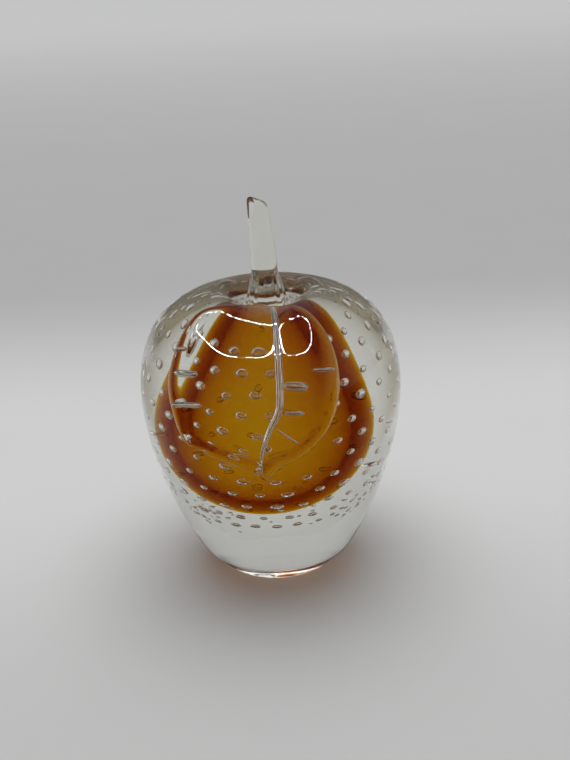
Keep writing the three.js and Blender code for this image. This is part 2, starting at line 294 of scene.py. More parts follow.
def bent_light(tree: bpy.types.NodeTree) -> tuple[bpy.types.NodeSocket, bpy.types.NodeSocket]:
    """Finds light that reaches the camera by way of glass, before it has met anything matt.

    Args:
        tree: the node tree that gets the nodes.

    Returns:
        Two sockets that are 1 for light mirrored by glass and for light that came through it.
    """
    path = add_node(tree, "ShaderNodeLightPath")
    # The depth counts meetings with matt surfaces, so less than a half is none.
    first = add_node(
        tree, "ShaderNodeMath", {0: path.outputs["Diffuse Depth"], 1: 0.5}, operation="LESS_THAN"
    )
    bent, passed = (
        add_node(
            tree, "ShaderNodeMath", {0: path.outputs[kind], 1: first.outputs[0]}, operation="MULTIPLY"
        ).outputs[0]
        for kind in ("Is Glossy Ray", "Is Transmission Ray")
    )
    # Light through smooth glass counts as glossy too, so it is taken out of the mirrored kind.
    mirrored = add_node(
        tree, "ShaderNodeMath", {0: bent, 1: passed}, operation="SUBTRACT", use_clamp=True
    )
    return mirrored.outputs[0], passed


@dataclass(frozen=True)
class PaleTable:
    """Matt pale grey sheet that the fruit stands on.

    Seen through the glass it wears a painted shade, darker and warmer in front and at the sides than
    straight behind, which stands in for the fruit's own shadow and colour on it. Ramps are in millimetres,
    by how far back a spot lies. The near one goes by the spot's distance from the fruit's axis.
    """

    name: str = "matt_pale_sheet"
    colour: str = "#cdcdcb"
    shade: str = "#cacac9"
    mottle_mm: float = 60.0
    # Painted shade round the fruit's foot, for the sheet seen through the glass.
    near_shade: str = "#bcb397"
    behind: Ramp = Ramp(-30.0, 85.0)
    near: Ramp = Ramp(160.0, 320.0)
    # Painted shade on the sheet seen through the glass: darker in front, and a little darker from about 110
    # mm back.
    passed_painted_shade: tuple[Ramp, ...] = (Ramp(-160.0, -50.0, 0.6, 1.0), Ramp(110.0, 330.0, 1.0, 0.91))
    # Painted light and shade along the sheet's depth, where it is seen directly: darker in front and
    # further back, lighter again far back.
    seen_painted_light_and_shade: tuple[Ramp, ...] = (
        Ramp(-110.0, 60.0, 0.87, 1.06),
        Ramp(110.0, 330.0, 1.0, 0.68),
        Ramp(450.0, 2300.0, 1.0, 1.32),
    )
    # Painted shade on the sheet where the glass mirrors it: darker in front.
    mirrored_shade: str = "#404040"
    mirrored: Ramp = Ramp(-60.0, 60.0)

    def material(self) -> bpy.types.Material:
        """Builds the material: matt, with a very faint slow mottle, and painted light and shade that differ
        for the sheet seen directly, through the glass and mirrored in it.

        Returns:
            The material.
        """
        material, tree = empty_material(self.name)
        place = add_node(tree, "ShaderNodeTexCoord").outputs["Object"]
        scale = 1.0 / (self.mottle_mm * MM)
        mottle = add_node(tree, "ShaderNodeTexNoise", {"Vector": place, "Scale": scale, "Detail": 2.0})
        tone = add_node(
            tree,
            "ShaderNodeMix",
            {0: mottle.outputs["Fac"], 6: linear(self.colour), 7: linear(self.shade)},
            data_type="RGBA",
        )
        back = add_node(tree, "ShaderNodeSeparateXYZ", {"Vector": place}).outputs["Y"]
        mirrored, passed = bent_light(tree)
        seen = add_node(tree, "ShaderNodeLightPath").outputs["Is Camera Ray"]
        # Painted shade and painted light, each used only for its kind of ray, multiply the mottled tone.
        painted_tints = [(passed, self.fruit_shade(tree, place))]
        levels = [(passed, ramp) for ramp in self.passed_painted_shade]
        levels += [(seen, ramp) for ramp in self.seen_painted_light_and_shade]
        for ray, ramp in levels:
            level = add_node(tree, "ShaderNodeMapRange", ramp.sockets(back, MM), **SMOOTH)
            painted_tints.append((ray, level.outputs[0]))
        # Painted shade for the sheet as the glass mirrors it.
        bright = add_node(tree, "ShaderNodeMapRange", self.mirrored.sockets(back, MM))
        mirrored_painted_shade = add_node(
            tree,
            "ShaderNodeMix",
            {0: bright.outputs[0], 6: linear(self.mirrored_shade), 7: linear(WHITE)},
            data_type="RGBA",
        )
        painted_tints.append((mirrored, mirrored_painted_shade.outputs[2]))
        colour = tone.outputs[2]
        for ray, painted_tint in painted_tints:
            colour = add_node(
                tree,
                "ShaderNodeMix",
                {0: ray, 6: colour, 7: painted_tint},
                data_type="RGBA",
                blend_type="MULTIPLY",
            ).outputs[2]
        shader = add_node(tree, "ShaderNodeBsdfDiffuse", {"Color": colour, "Roughness": 0.0})
        add_node(tree, "ShaderNodeOutputMaterial", {"Surface": shader.outputs["BSDF"]})
        return material

    def fruit_shade(self, tree: bpy.types.NodeTree, place: bpy.types.NodeSocket) -> bpy.types.NodeSocket:
        """Painted shade of the fruit round its foot: full in front and to both sides, none behind or far
        off.

        A spot counts as behind by its y less its distance to the side.

        Args:
            tree: the node tree that gets the nodes.
            place: the spot's place, in metres.

        Returns:
            The shade's colour.
        """
        # The painted shade's mask, by place on the sheet.
        axes = add_node(tree, "ShaderNodeSeparateXYZ", {"Vector": place}).outputs
        aside = add_node(tree, "ShaderNodeMath", {0: axes["X"]}, operation="ABSOLUTE")
        away = add_node(tree, "ShaderNodeMath", {0: axes["Y"], 1: aside.outputs[0]}, operation="SUBTRACT")
        behind = add_node(tree, "ShaderNodeMapRange", self.behind.sockets(away.outputs[0], MM), **SMOOTH)
        distance = add_node(tree, "ShaderNodeVectorMath", {0: place}, operation="LENGTH")
        far_off = add_node(tree, "ShaderNodeMapRange", self.near.sockets(distance.outputs["Value"], MM))
        bare = add_node(
            tree, "ShaderNodeMath", {0: behind.outputs[0], 1: far_off.outputs[0]}, operation="MAXIMUM"
        )
        shade = add_node(
            tree,
            "ShaderNodeMix",
            {0: bare.outputs[0], 6: linear(self.near_shade), 7: linear(WHITE)},
            data_type="RGBA",
        )
        return shade.outputs[2]


@dataclass(frozen=True)
class LampGlow:
    """Face of a small bright lamp, made to show in the glass and not to light the sheet."""

    name: str = "lamp_ring"
    strength: float = 185.0

    def material(self) -> bpy.types.Material:
        """Builds the material: an even glow.

        Returns:
            The material.
        """
        material, tree = empty_material(self.name)
        glow = add_node(tree, "ShaderNodeEmission", {"Strength": self.strength})
        add_node(tree, "ShaderNodeOutputMaterial", {"Surface": glow.outputs["Emission"]})
        material.cycles.emission_sampling = "NONE"
        return material


# Curves and surfaces


def run_length(line: np.ndarray) -> np.ndarray:
    """Distance along a line from its start to each of its points."""
    steps = np.linalg.norm(np.diff(line, axis=0), axis=1)
    return np.concatenate([[0.0], np.cumsum(steps)])


def read_off(where: np.ndarray, along: np.ndarray, table: np.ndarray) -> np.ndarray:
    """Reads a table at distances that lie between its rows, in straight steps.

    Args:
        where: the distances, of any shape.
        along: the distance that each row stands for.
        table: one row for each distance.

    Returns:
        The values, with the table's columns as the last axis.
    """
    return np.stack([np.interp(where, along, column) for column in table.T], axis=-1)


@dataclass(frozen=True)
class HalfPlanePath:
    """A chain of cubic curves in the half-plane of radius and height.

    Each curve is six numbers: two handles and an end, as radius and height in millimetres.
    """

    start: tuple[float, float]
    curves: tuple[tuple[float, ...], ...]

    def samples(self, count: int = 500) -> np.ndarray:
        """Points on the chain by the cubic Bezier formula.

        Args:
            count: points on each curve.

        Returns:
            An array of radius and height, one row for each point.
        """
        share = np.linspace(0.0, 1.0, count)[:, None]
        begin = np.array(self.start)
        parts = [begin[None]]
        for curve in self.curves:
            near, far, end = np.array(curve).reshape(3, 2)
            rest = 1.0 - share
            line = rest**3 * begin + 3 * rest**2 * share * near + 3 * rest * share**2 * far + share**3 * end
            parts.append(line[1:])
            begin = end
        return np.vstack(parts)

    def lengths(self) -> np.ndarray:
        """Distance from the start to the end of each curve."""
        steps = np.linalg.norm(np.diff(self.samples(), axis=0), axis=1)
        return np.cumsum(steps.reshape(len(self.curves), -1).sum(axis=1))

    def at(self, distance: np.ndarray) -> tuple[np.ndarray, np.ndarray]:
        """Points and outward normals at distances along the chain.

        Args:
            distance: millimetres from the start, of any shape.

        Returns:
            Two arrays with a last axis of radius and height: the points and the unit normals.
        """
        line = self.samples()
        along = run_length(line)
        slope = np.gradient(line, along, axis=0)
        normal = unit(np.stack([slope[:, 1], -slope[:, 0]], axis=-1))
        return read_off(distance, along, line), read_off(distance, along, normal)


def spline(points: np.ndarray, share: np.ndarray, steps: int = 60) -> np.ndarray:
    """Points at shares of the length of a smooth line through given points (Catmull-Rom).

    Args:
        points: the points that the line passes, one per row.
        share: positions along it, from 0 to 1.
        steps: straight steps between two of the points.

    Returns:
        One row for each share.
    """
    padded = np.vstack([points[:1], points, points[-1:]])
    step = np.linspace(0.0, 1.0, steps, endpoint=False)[None, :, None]
    before, begin, end, after = (padded[i : len(padded) - 3 + i, None] for i in range(4))
    leave = (end - before) / 2
    arrive = (after - begin) / 2
    line = (
        (2 * begin - 2 * end + leave + arrive) * step**3
        + (3 * end - 3 * begin - 2 * leave - arrive) * step**2
        + leave * step
        + begin
    )
    line = np.vstack([line.reshape(-1, points.shape[1]), points[-1:]])
    along = run_length(line)
    return read_off(share * along[-1], along, line)


@dataclass
class Skin:
    """A surface of four-cornered faces, each with a coat, in millimetres."""

    points: np.ndarray
    faces: np.ndarray
    coats: np.ndarray

    @classmethod
    def from_grid(cls, grid: np.ndarray, coat: int | np.ndarray, wrap: bool = True) -> Skin:
        """Lays faces over a grid of points.

        Args:
            grid: points by row, column and coordinate.
            coat: one coat for all faces, or one for each row of faces.
            wrap: whether the last column joins the first.

        Returns:
            The surface.
        """
        rows, columns = grid.shape[:2]
        number = np.arange(rows * columns).reshape(rows, columns)
        if wrap:
            number = np.hstack([number, number[:, :1]])
        faces = np.stack([number[:-1, :-1], number[:-1, 1:], number[1:, 1:], number[1:, :-1]], axis=-1)
        coats = np.broadcast_to(np.reshape(coat, (-1, 1)), faces.shape[:2])
        return cls(grid.reshape(-1, 3), faces.reshape(-1, 4), coats.reshape(-1).astype(int))

    def joined(self, other: Skin) -> Skin:
        """Returns this surface and another one as one."""
        faces = np.vstack([self.faces, other.faces + len(self.points)])
        return Skin(np.vstack([self.points, other.points]), faces, np.hstack([self.coats, other.coats]))

    def mesh(self, name: str) -> bpy.types.Mesh:
        """Puts the surface into a Blender mesh in metres, with poles closed and faces pointing outwards.

        Args:
            name: the mesh's name.

        Returns:
            The mesh, smooth shaded, with each face's coat as its material slot.
        """
        mesh = bpy.data.meshes.new(name)
        mesh.vertices.add(len(self.points))
        mesh.vertices.foreach_set("co", (self.points * MM).astype(np.float32).ravel())
        mesh.loops.add(self.faces.size)
        mesh.loops.foreach_set("vertex_index", self.faces.astype(np.int32).ravel())
        mesh.polygons.add(len(self.faces))
        corners = self.faces.shape[1]
        mesh.polygons.foreach_set("loop_start", np.arange(0, self.faces.size, corners, dtype=np.int32))
        mesh.polygons.foreach_set("material_index", self.coats.astype(np.int32))
        mesh.update(calc_edges=True)
        shape = bmesh.new()
        shape.from_mesh(mesh)
        bmesh.ops.remove_doubles(shape, verts=shape.verts, dist=MERGE_DISTANCE)
        bmesh.ops.recalc_face_normals(shape, faces=shape.faces)
        shape.to_mesh(mesh)
        shape.free()
        mesh.shade_smooth()
        return mesh


def turned(
    profile: np.ndarray, columns: int, coats: int | np.ndarray, shift: np.ndarray | None = None
) -> Skin:
    """Turns a profile about +Z: x = radius sin(turn), y = -radius cos(turn).

    Args:
        profile: radius and height, one row for each ring.
        columns: steps round the axis.
        coats: one coat for all faces, or one for each step of the profile.
        shift: how far each ring's middle is off the axis, as x, y and z.

    Returns:
        The surface of revolution.
    """
    turn = np.linspace(0.0, 2.0 * np.pi, columns, endpoint=False)[None]
    radius = profile[:, :1]
    height = np.broadcast_to(profile[:, 1:], (len(profile), columns))
    grid = np.stack([radius * np.sin(turn), -radius * np.cos(turn), height], axis=-1)
    if shift is not None:
        grid = grid + shift[:, None]
    return Skin.from_grid(grid, coats)


def unit(vectors: np.ndarray) -> np.ndarray:
    """Vectors scaled to a length of 1 along the last axis."""
    return vectors / np.linalg.norm(vectors, axis=-1, keepdims=True)


def smooth_step(value: np.ndarray, low: float, high: float) -> np.ndarray:
    """Rises from 0 at a low value to 1 at a high one, level at both: the cubic 3 s^2 - 2 s^3."""
    share = np.clip((value - low) / (high - low), 0.0, 1.0)
    return share**2 * (3.0 - 2.0 * share)


def swelling(share: np.ndarray, power: int) -> np.ndarray:
    """Full along a length and closed at both ends: the root of 1 - (2 s - 1)^power."""
    return np.sqrt(np.clip(1.0 - (2.0 * share - 1.0) ** power, 0.0, 1.0))


def distance_to_line(spots: np.ndarray, line: np.ndarray) -> np.ndarray:
    """Distance from each spot to the nearest of a line's straight pieces.

    A spot's foot on a piece is its projection, kept between the piece's two ends.

    Args:
        spots: places on a grid, with a last axis of two coordinates.
        line: points of the line, one per row.

    Returns:
        The distances, in the grid's shape.
    """
    step = np.diff(line, axis=0)
    away = spots[..., None, :] - line[:-1]
    share = np.clip((away * step).sum(axis=-1) / (step**2).sum(axis=-1), 0.0, 1.0)
    return np.linalg.norm(away - share[..., None] * step, axis=-1).min(axis=-1)


def air_beads(
    centres: np.ndarray, frames: np.ndarray, halves: np.ndarray, rings: int = 7, columns: int = 10
) -> Skin:
    """Flattened balls of air: a unit sphere scaled along three axes of its own for each bead.

    Args:
        centres: middles of the beads, in millimetres.
        frames: three unit axes for each bead, as rows.
        halves: half sizes along those axes.
        rings: rings of points on each bead, with its two poles.
        columns: steps round each bead.

    Returns:
        All beads as one surface.
    """
    tilt = np.linspace(0.0, np.pi, rings)[:, None]
    turn = np.linspace(0.0, 2.0 * np.pi, columns, endpoint=False)[None]
    ball = np.stack([np.sin(tilt) * np.cos(turn), np.sin(tilt) * np.sin(turn), np.cos(tilt) + 0 * turn], -1)
    one = Skin.from_grid(ball, Coat.AIR)
    shaped = np.einsum("vi,ni,nij->nvj", one.points, halves, frames) + centres[:, None]
    faces = one.faces[None] + (np.arange(len(centres)) * len(one.points))[:, None, None]
    coats = np.full(faces.shape[0] * faces.shape[1], int(Coat.AIR))
    return Skin(shaped.reshape(-1, 3), faces.reshape(-1, 4), coats)


def rounded(turn: np.ndarray, fullness: float) -> tuple[np.ndarray, np.ndarray]:
    """Cosine and sine of a superellipse: a fullness of 1 is a diamond, 2 an ellipse, 4 a soft box."""
    bent = [np.sign(wave) * np.abs(wave) ** (2.0 / fullness) for wave in (np.cos(turn), np.sin(turn))]
    return bent[0], bent[1]


# Pieces of the fruit


@dataclass
class FruitShape:
    """Outside of the fruit, in millimetres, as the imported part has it."""

    base_radius: float = 21.2
    base_edge: float = 2.0
    base_flare: float = 47.5
    heel_height: float = 7.0
    flare_reach: float = 3.2
    belly_radius: float = 45.0
    belly_height: float = 66.3
    belly_below: float = 27.7
    belly_above: float = 20.0
    crown_radius: float = 17.9
    crown_height: float = 99.8
    crown_outside: float = 17.6
    crown_inside: float = 6.0
    seat_height: float = 95.5
    seat_radius: float = 8.0

    @classmethod
    def from_frame(cls) -> FruitShape:
        """Takes the belly's radius and the crown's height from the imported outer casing."""
        low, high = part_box("outer_casing")
        return cls(belly_radius=(high.x - low.x) / 2 / MM, crown_height=high.z / MM)

    def path(self) -> HalfPlanePath:
        """The outline from the edge of the foot up over the crown to the seat of the stem.

        Returns:
            Five curves: the rounded edge, the straight heel, the belly's two halves and the dimple.
        """
        slope = math.radians(self.base_flare)
        along = np.array([math.cos(slope), math.sin(slope)])
        base = np.array([self.base_radius, 0.0])
        foot = base + along * self.base_edge
        heel = base + along * self.heel_height / math.sin(slope)
        rise = heel + along * self.flare_reach
        belly = (self.belly_radius, self.belly_height)
        crown = (self.crown_radius, self.crown_height)
        return HalfPlanePath(
            (self.base_radius - self.base_edge, 0.0),
            (
                (*base, *base, *foot),
                (*(2 * foot + heel) / 3, *(foot + 2 * heel) / 3, *heel),
                (*rise, belly[0], belly[1] - self.belly_below, *belly),
                (belly[0], belly[1] + self.belly_above, crown[0] + self.crown_outside, crown[1], *crown),
                (
                    crown[0] - self.crown_inside,
                    crown[1],
                    self.seat_radius + self.crown_inside / 2,
                    self.seat_height,
                    self.seat_radius,
                    self.seat_height,
                ),
            ),
        )

    def over(self, sideways: np.ndarray, down: np.ndarray, out: np.ndarray | float) -> np.ndarray:
        """Points over the fruit's surface.

        Args:
            sideways: millimetres along the surface from the front line, to the right.
            down: millimetres along the surface from the crown, towards the foot.
            out: millimetres out of the surface.

        Returns:
            Points with a last axis of x, y and z.
        """
        path = self.path()
        # The last curve but one ends on the crown.
        to_crown = path.lengths()[-2]
        point, normal = path.at(to_crown - np.asarray(down))
        turn = sideways / point[..., 0]
        radius = point[..., 0] + normal[..., 0] * out
        height = point[..., 1] + normal[..., 1] * out
        return np.stack([radius * np.sin(turn), -radius * np.cos(turn), height], axis=-1)


@dataclass(frozen=True)
class GatherShape:
    """Outside of an inner gather: a round bottom, a widest ring and a shoulder that meets a neck.

    The reaches say how far the outline's curves run straight on at the bottom, below and above the
    widest ring and at the shoulder. The lean is how far the wide end sits off the axis.
    """

    bottom: float
    bottom_reach: float
    radius: float
    height: float
    reach_below: float
    reach_above: float
    shoulder_reach: float
    neck_radius: float
    neck_foot: float
    lean: tuple[float, float, float] = (0.0, 0.0, 0.0)

    def path(self) -> HalfPlanePath:
        """The outline from the bottom on the axis to the foot of the neck.

        Returns:
            Two curves, which meet on the widest ring.
        """
        widest = (self.radius, self.height)
        neck = (self.neck_radius, self.neck_foot)
        return HalfPlanePath(
            (0.0, self.bottom),
            (
                (self.bottom_reach, self.bottom, self.radius, self.height - self.reach_below, *widest),
                (
                    self.radius,
                    self.height + self.reach_above,
                    self.neck_radius + self.shoulder_reach,
                    self.neck_foot,
                    *neck,
                ),
            ),
        )

    def outline(self, rings: int, offset: float = 0.0) -> np.ndarray:
        """Points on the outside, moved outwards by an offset, with the first one kept on the axis.

        Args:
            rings: how many points.
            offset: millimetres along the outward normal.

        Returns:
            Radius and height, one row for each point.
        """
        path = self.path()
        point, normal = path.at(np.linspace(0.0, path.lengths()[-1], rings))
        line = point + normal * offset
        line[0, 0] = 0.0
        return line


@dataclass
class Gathers:
    """Sizes of the three inner gathers, in millimetres. They lean fully low down and not at the neck."""

    neck_top: float = 95.2
    rings: int = 70
    columns: int = 160
    lean_below: float = 60.0
    lean_above: float = 88.0
    egg: GatherShape = GatherShape(
        bottom=29.2,
        bottom_reach=14.0,
        radius=25.0,
        height=56.0,
        reach_below=16.0,
        reach_above=17.0,
        shoulder_reach=5.0,
        neck_radius=2.9,
        neck_foot=90.4,
        lean=(-2.0, -2.0, 0.0),
    )
    heart: GatherShape = GatherShape(
        bottom=34.2,
        bottom_reach=11.5,
        radius=20.0,
        height=56.0,
        reach_below=13.5,
        reach_above=14.5,
        shoulder_reach=2.5,
        neck_radius=1.6,
        neck_foot=85.4,
        lean=(-2.4, -2.0, 0.0),
    )
    casing: GatherShape = GatherShape(
        bottom=18.7,
        bottom_reach=19.0,
        radius=31.5,
        height=63.0,
        reach_below=22.0,
        reach_above=20.0,
        shoulder_reach=13.0,
        neck_radius=4.7,
        neck_foot=92.8,
    )

    def leaning(self, height: np.ndarray, gather: GatherShape) -> np.ndarray:
        """How far a gather's middle is off the axis: a smooth step that grows down from the neck.

        Args:
            height: heights in millimetres.
            gather: the gather whose lean is meant.

        Returns:
            One row of x, y and z for each height.
        """
        share = 1.0 - smooth_step(height, self.lean_below, self.lean_above)
        return share[:, None] * np.array(gather.lean)

    def cup(self, outside: GatherShape, inside: GatherShape | None, coat: Coat) -> Skin:
        """A gather as a closed cup round the one inside it, both necks ending level.

        Args:
            outside: the gather's own outside.
            inside: the outside of the gather that it wraps, or None for a solid one.
            coat: the coat of all its faces.

        Returns:
            The cup's surface, in which each gather leans off the axis by its own amount.
        """
        rim = np.array([[outside.neck_radius, self.neck_top]])
        if inside is None:
            back = np.array([[0.0, self.neck_top]])
        else:
            bore = inside.neck_radius + GAP
            hollow = inside.outline(self.rings, GAP)[::-1]
            back = np.vstack([[[bore, self.neck_top]], [[bore, hollow[0, 1]]], hollow[1:]])
        front = np.vstack([outside.outline(self.rings), rim])
        shift = np.vstack([self.leaning(front[:, 1], outside), self.leaning(back[:, 1], inside or outside)])
        return turned(np.vstack([front, back]), self.columns, coat, shift)


@dataclass
class BubbleNet:
    """Air beads trapped in the pits of the pin mould, on staggered rows round the inner casing.

    Rows are distances from the casing's bottom along its outside. A closed part is two turns from the
    front, in radians, and two rows, between which no bead formed. Beads at the back and in the lowest
    rows are smaller.
    """

    around: int = 20
    first_row: float = 21.0
    row_pitch: float = 5.7
    last_row: float = 102.0
    half_wide: float = 1.85
    half_high: float = 1.15
    half_deep: float = 0.55
    row_scatter: float = 0.35
    turn_scatter: float = 0.04
    sizes: tuple[float, float] = (0.75, 1.2)
    closed_parts: tuple[tuple[float, float, float, float], ...] = (
        (0.02, 0.62, 48.0, 92.0),
        (-2.95, -2.70, 44.0, 62.0),
        (-2.62, -2.42, 46.0, 62.0),
        (2.42, 2.62, 46.0, 62.0),
        (-1.60, 1.60, 88.5, 120.0),
    )
    back_size: float = 0.65
    back_cosine: float = -0.1
    back_below: float = 60.0
    low_size: float = 0.75
    low_row: float = 30.0
    fine_count: int = 70
    fine_rows: tuple[float, float] = (15.0, 31.0)
    fine_sizes: tuple[float, float] = (0.25, 0.6)
    seed: int = 11

    def beads(self, casing: GatherShape) -> Skin:
        """Places one bead on each pit, a little uneven in place and size, and fine seeds among the lowest.

        Args:
            casing: the outside of the gather that was pressed into the mould.

        Returns:
            The beads' surface.
        """
        chance = np.random.default_rng(self.seed)
        rows = np.arange(self.first_row, self.last_row, self.row_pitch)
        distance = np.repeat(rows, self.around)
        distance = distance + chance.normal(0.0, self.row_scatter, len(distance))
        stagger = np.repeat(np.arange(len(rows)) % 2 / 2, self.around)
        count = np.tile(np.arange(self.around), len(rows)) + stagger
        turn = (count + chance.normal(0.0, self.turn_scatter, len(count))) / self.around * 2 * np.pi
        turn = (turn + np.pi) % (2 * np.pi) - np.pi
        for turn_from, turn_to, row_from, row_to in self.closed_parts:
            closed = (turn > turn_from) & (turn < turn_to) & (distance > row_from) & (distance < row_to)
            turn, distance = turn[~closed], distance[~closed]
        size = chance.uniform(*self.sizes, len(turn))
        at_back = (np.cos(turn) < self.back_cosine) & (distance < self.back_below)
        size *= np.where(at_back, self.back_size, 1.0)
        size *= np.where(distance < self.low_row, self.low_size, 1.0)
        turn = np.concatenate([turn, chance.uniform(-np.pi, np.pi, self.fine_count)])
        distance = np.concatenate([distance, chance.uniform(*self.fine_rows, self.fine_count)])
        size = np.concatenate([size, chance.uniform(*self.fine_sizes, self.fine_count)])
        point, normal = casing.path().at(distance)
        round_axis = np.stack([np.sin(turn), -np.cos(turn), 0 * turn], axis=-1)
        up = np.array([0.0, 0.0, 1.0])
        centre = round_axis * point[:, :1] + up * point[:, 1:]
        out = round_axis * normal[:, :1] + up * normal[:, 1:]
        side = np.stack([np.cos(turn), np.sin(turn), 0 * turn], axis=-1)
        frames = np.stack([side, np.cross(out, side), out], axis=1)
        halves = size[:, None] * np.array([self.half_wide, self.half_high, self.half_deep])
        return air_beads(centre, frames, halves)


@dataclass(frozen=True)
class Vein:
    """A pocket of air that marks a vein: two ends, as sideways and down over the fruit, and half sizes."""

    start: tuple[float, float]
    end: tuple[float, float]
    half_wide: float
    half_high: float


@dataclass(frozen=True)
class Lobe:
    """One half of the leaf: its outer edge, and how its top goes from the rib to the rim.

    The edge is a list of sideways and down, in millimetres over the fruit, from the stem to the tip.
    """

    edge: tuple[tuple[float, float], ...]
    crest: float
    hollow: float
    rim: float
    wide_rim: float
    tip_share: float


@dataclass
class LeafShape:
    """The leaf over the front of the crown: two lobes that rise from a valley along the rib.

    The rib is a list of sideways and down, in millimetres over the fruit. The line is the air line under
    it, whose span and narrowing are shares of the rib's length.
    """

    rib: tuple[tuple[float, float], ...] = (
        (1.4, -8.0), (2.6, 6.0), (3.1, 19.0), (3.3, 33.0), (2.6, 39.5),
        (-0.8, 46.3), (-2.9, 53.5), (-3.2, 59.0), (-2.2, 64.0),
    )
    left: Lobe = Lobe(
        edge=(
            (1.4, -8.0), (-5.3, -1.5), (-13.9, 3.7), (-23.9, 12.0), (-31.0, 25.7),
            (-32.7, 36.4), (-27.6, 49.5), (-19.6, 53.9), (-7.9, 59.1), (-2.2, 64.0),
        ),
        crest=8.4,
        hollow=0.7,
        rim=4.6,
        wide_rim=7.2,
        tip_share=0.72,
    )
    right: Lobe = Lobe(
        edge=(
            (1.4, -8.0), (3.4, -1.2), (11.0, 3.8), (17.4, 14.3), (21.8, 25.3),
            (22.2, 36.3), (18.5, 45.9), (10.7, 53.7), (2.0, 58.7), (-2.2, 64.0),
        ),
        crest=5.4,
        hollow=-0.5,
        rim=4.8,
        wide_rim=8.0,
        tip_share=0.85,
    )
    valley: float = 1.6
    rim_widens: tuple[float, float] = (0.3, 0.5)
    rim_narrows: tuple[float, float] = (0.58, 0.75)
    rim_power: float = 0.5
    lip_height: float = 0.75
    lip_width: float = 6.0
    top_taper: float = 0.5
    tip_taper: float = 0.5
    sunk: float = 0.6
    stations: int = 130
    strips: int = 44
    rim_points: int = 200
    line_span: tuple[float, float] = (0.06, 0.985)
    line_points: int = 120
    line_half_wide: float = 1.25
    line_half_high: float = 1.3
    line_out: float = -0.25
    line_fullness: float = 1.25
    line_end_power: int = 8
    line_narrows_after: float = 0.62
    line_narrows_by: float = 0.55
    tube_sides: int = 20
    vein_points: int = 24
    vein_out_share: float = 0.4
    vein_fullness: float = 1.3
    vein_end_power: int = 4
    veins: tuple[Vein, ...] = (
        Vein((4.6, 31.6), (12.0, 32.8), 1.35, 1.3),
        Vein((4.4, 40.2), (10.6, 40.6), 0.65, 0.7),
        Vein((1.8, 45.0), (8.5, 50.4), 0.3, 0.25),
        Vein((13.6, 28.2), (20.2, 29.1), 0.6, 0.45),
        Vein((-30.5, 30.4), (-22.5, 29.3), 1.1, 0.8),
        Vein((-31.0, 39.4), (-21.5, 38.4), 0.9, 0.7),
        Vein((-30.5, 24.3), (-26.5, 22.8), 0.7, 0.5),
        Vein((-12.4, 53.5), (-7.0, 54.6), 0.5, 0.4),
    )

    def thickness(self, along: np.ndarray, across: np.ndarray, inset: np.ndarray, lobe: Lobe) -> np.ndarray:
        """Height of the leaf's top over the fruit.

        From the rib it rises towards the rim, the left half hollow and the right half full, as a
        parabola. Close to the rim it rounds off like the edge of a drop. Along its length it thickens
        as a quarter of a sine from the stem and thins in a smooth step towards the tip, where a lip, the
        square of a sine, stands up inside the rim. The rim is wider halfway down.

        Args:
            along: share of the way from the stem to the tip.
            across: share of the way from the rib to the rim.
            inset: millimetres from the rim.
            lobe: which half of the leaf.

        Returns:
            Heights in millimetres.
        """
        lower = smooth_step(along, *self.rim_narrows)
        rim = lobe.rim + (lobe.wide_rim - lobe.rim) * (smooth_step(along, *self.rim_widens) - lower)
        rise = self.valley + (lobe.crest - self.valley) * (across + lobe.hollow * (across**2 - across))
        edge = (1.0 - (1.0 - np.clip(inset / rim, 0.0, 1.0)) ** 2) ** self.rim_power
        thinning = 1.0 - (1.0 - lobe.tip_share) * smooth_step(along, 1.0 - self.tip_taper, 1.0)
        lip = self.lip_height * lower * np.sin(np.pi * np.clip(inset / self.lip_width, 0.0, 1.0)) ** 2
        return rise * edge * thinning * np.sin(np.pi / 2 * np.minimum(along / self.top_taper, 1.0)) + lip

    def half(self, fruit: FruitShape, lobe: Lobe) -> tuple[np.ndarray, np.ndarray]:
        """Top and underside of one half of the leaf.

        Args:
            fruit: the shape that the leaf lies on.
            lobe: which half.

        Returns:
            Two grids of points, from the stem to the tip and from the rib to the rim.
        """
        along = np.linspace(0.0, 1.0, self.stations)
        # Strips crowd together towards the rim, where the surface turns fastest.
        across = np.sin(np.linspace(0.0, np.pi / 2, self.strips))
        edge = np.array(lobe.edge)
        from_rib = spline(np.array(self.rib), along)[:, None]
        to_rim = spline(edge, along)[:, None]
        spot = from_rib + (to_rim - from_rib) * across[None, :, None]
        rim_line = spline(edge, np.linspace(0.0, 1.0, self.rim_points))
        inset = distance_to_line(spot, rim_line)
        height = self.thickness(along[:, None], across[None], inset, lobe)
        top = fruit.over(spot[..., 0], spot[..., 1], height)
        under = fruit.over(spot[..., 0], spot[..., 1], -self.sunk)
        return top, under

    def skin(self, fruit: FruitShape) -> Skin:
        """The closed surface of the whole leaf, its underside sunk a little into the fruit.

        Args:
            fruit: the shape that the leaf lies on.

        Returns:
            The surface, as rings from the stem to the tip.
        """
        left_top, left_under = self.half(fruit, self.left)
        right_top, right_under = self.half(fruit, self.right)
        top = np.hstack([left_top[:, ::-1], right_top[:, 1:]])
        under = np.hstack([left_under[:, ::-1], right_under[:, 1:]])
        ring = np.hstack([top, under[:, ::-1]])
        return Skin.from_grid(ring, Coat.SKIN)

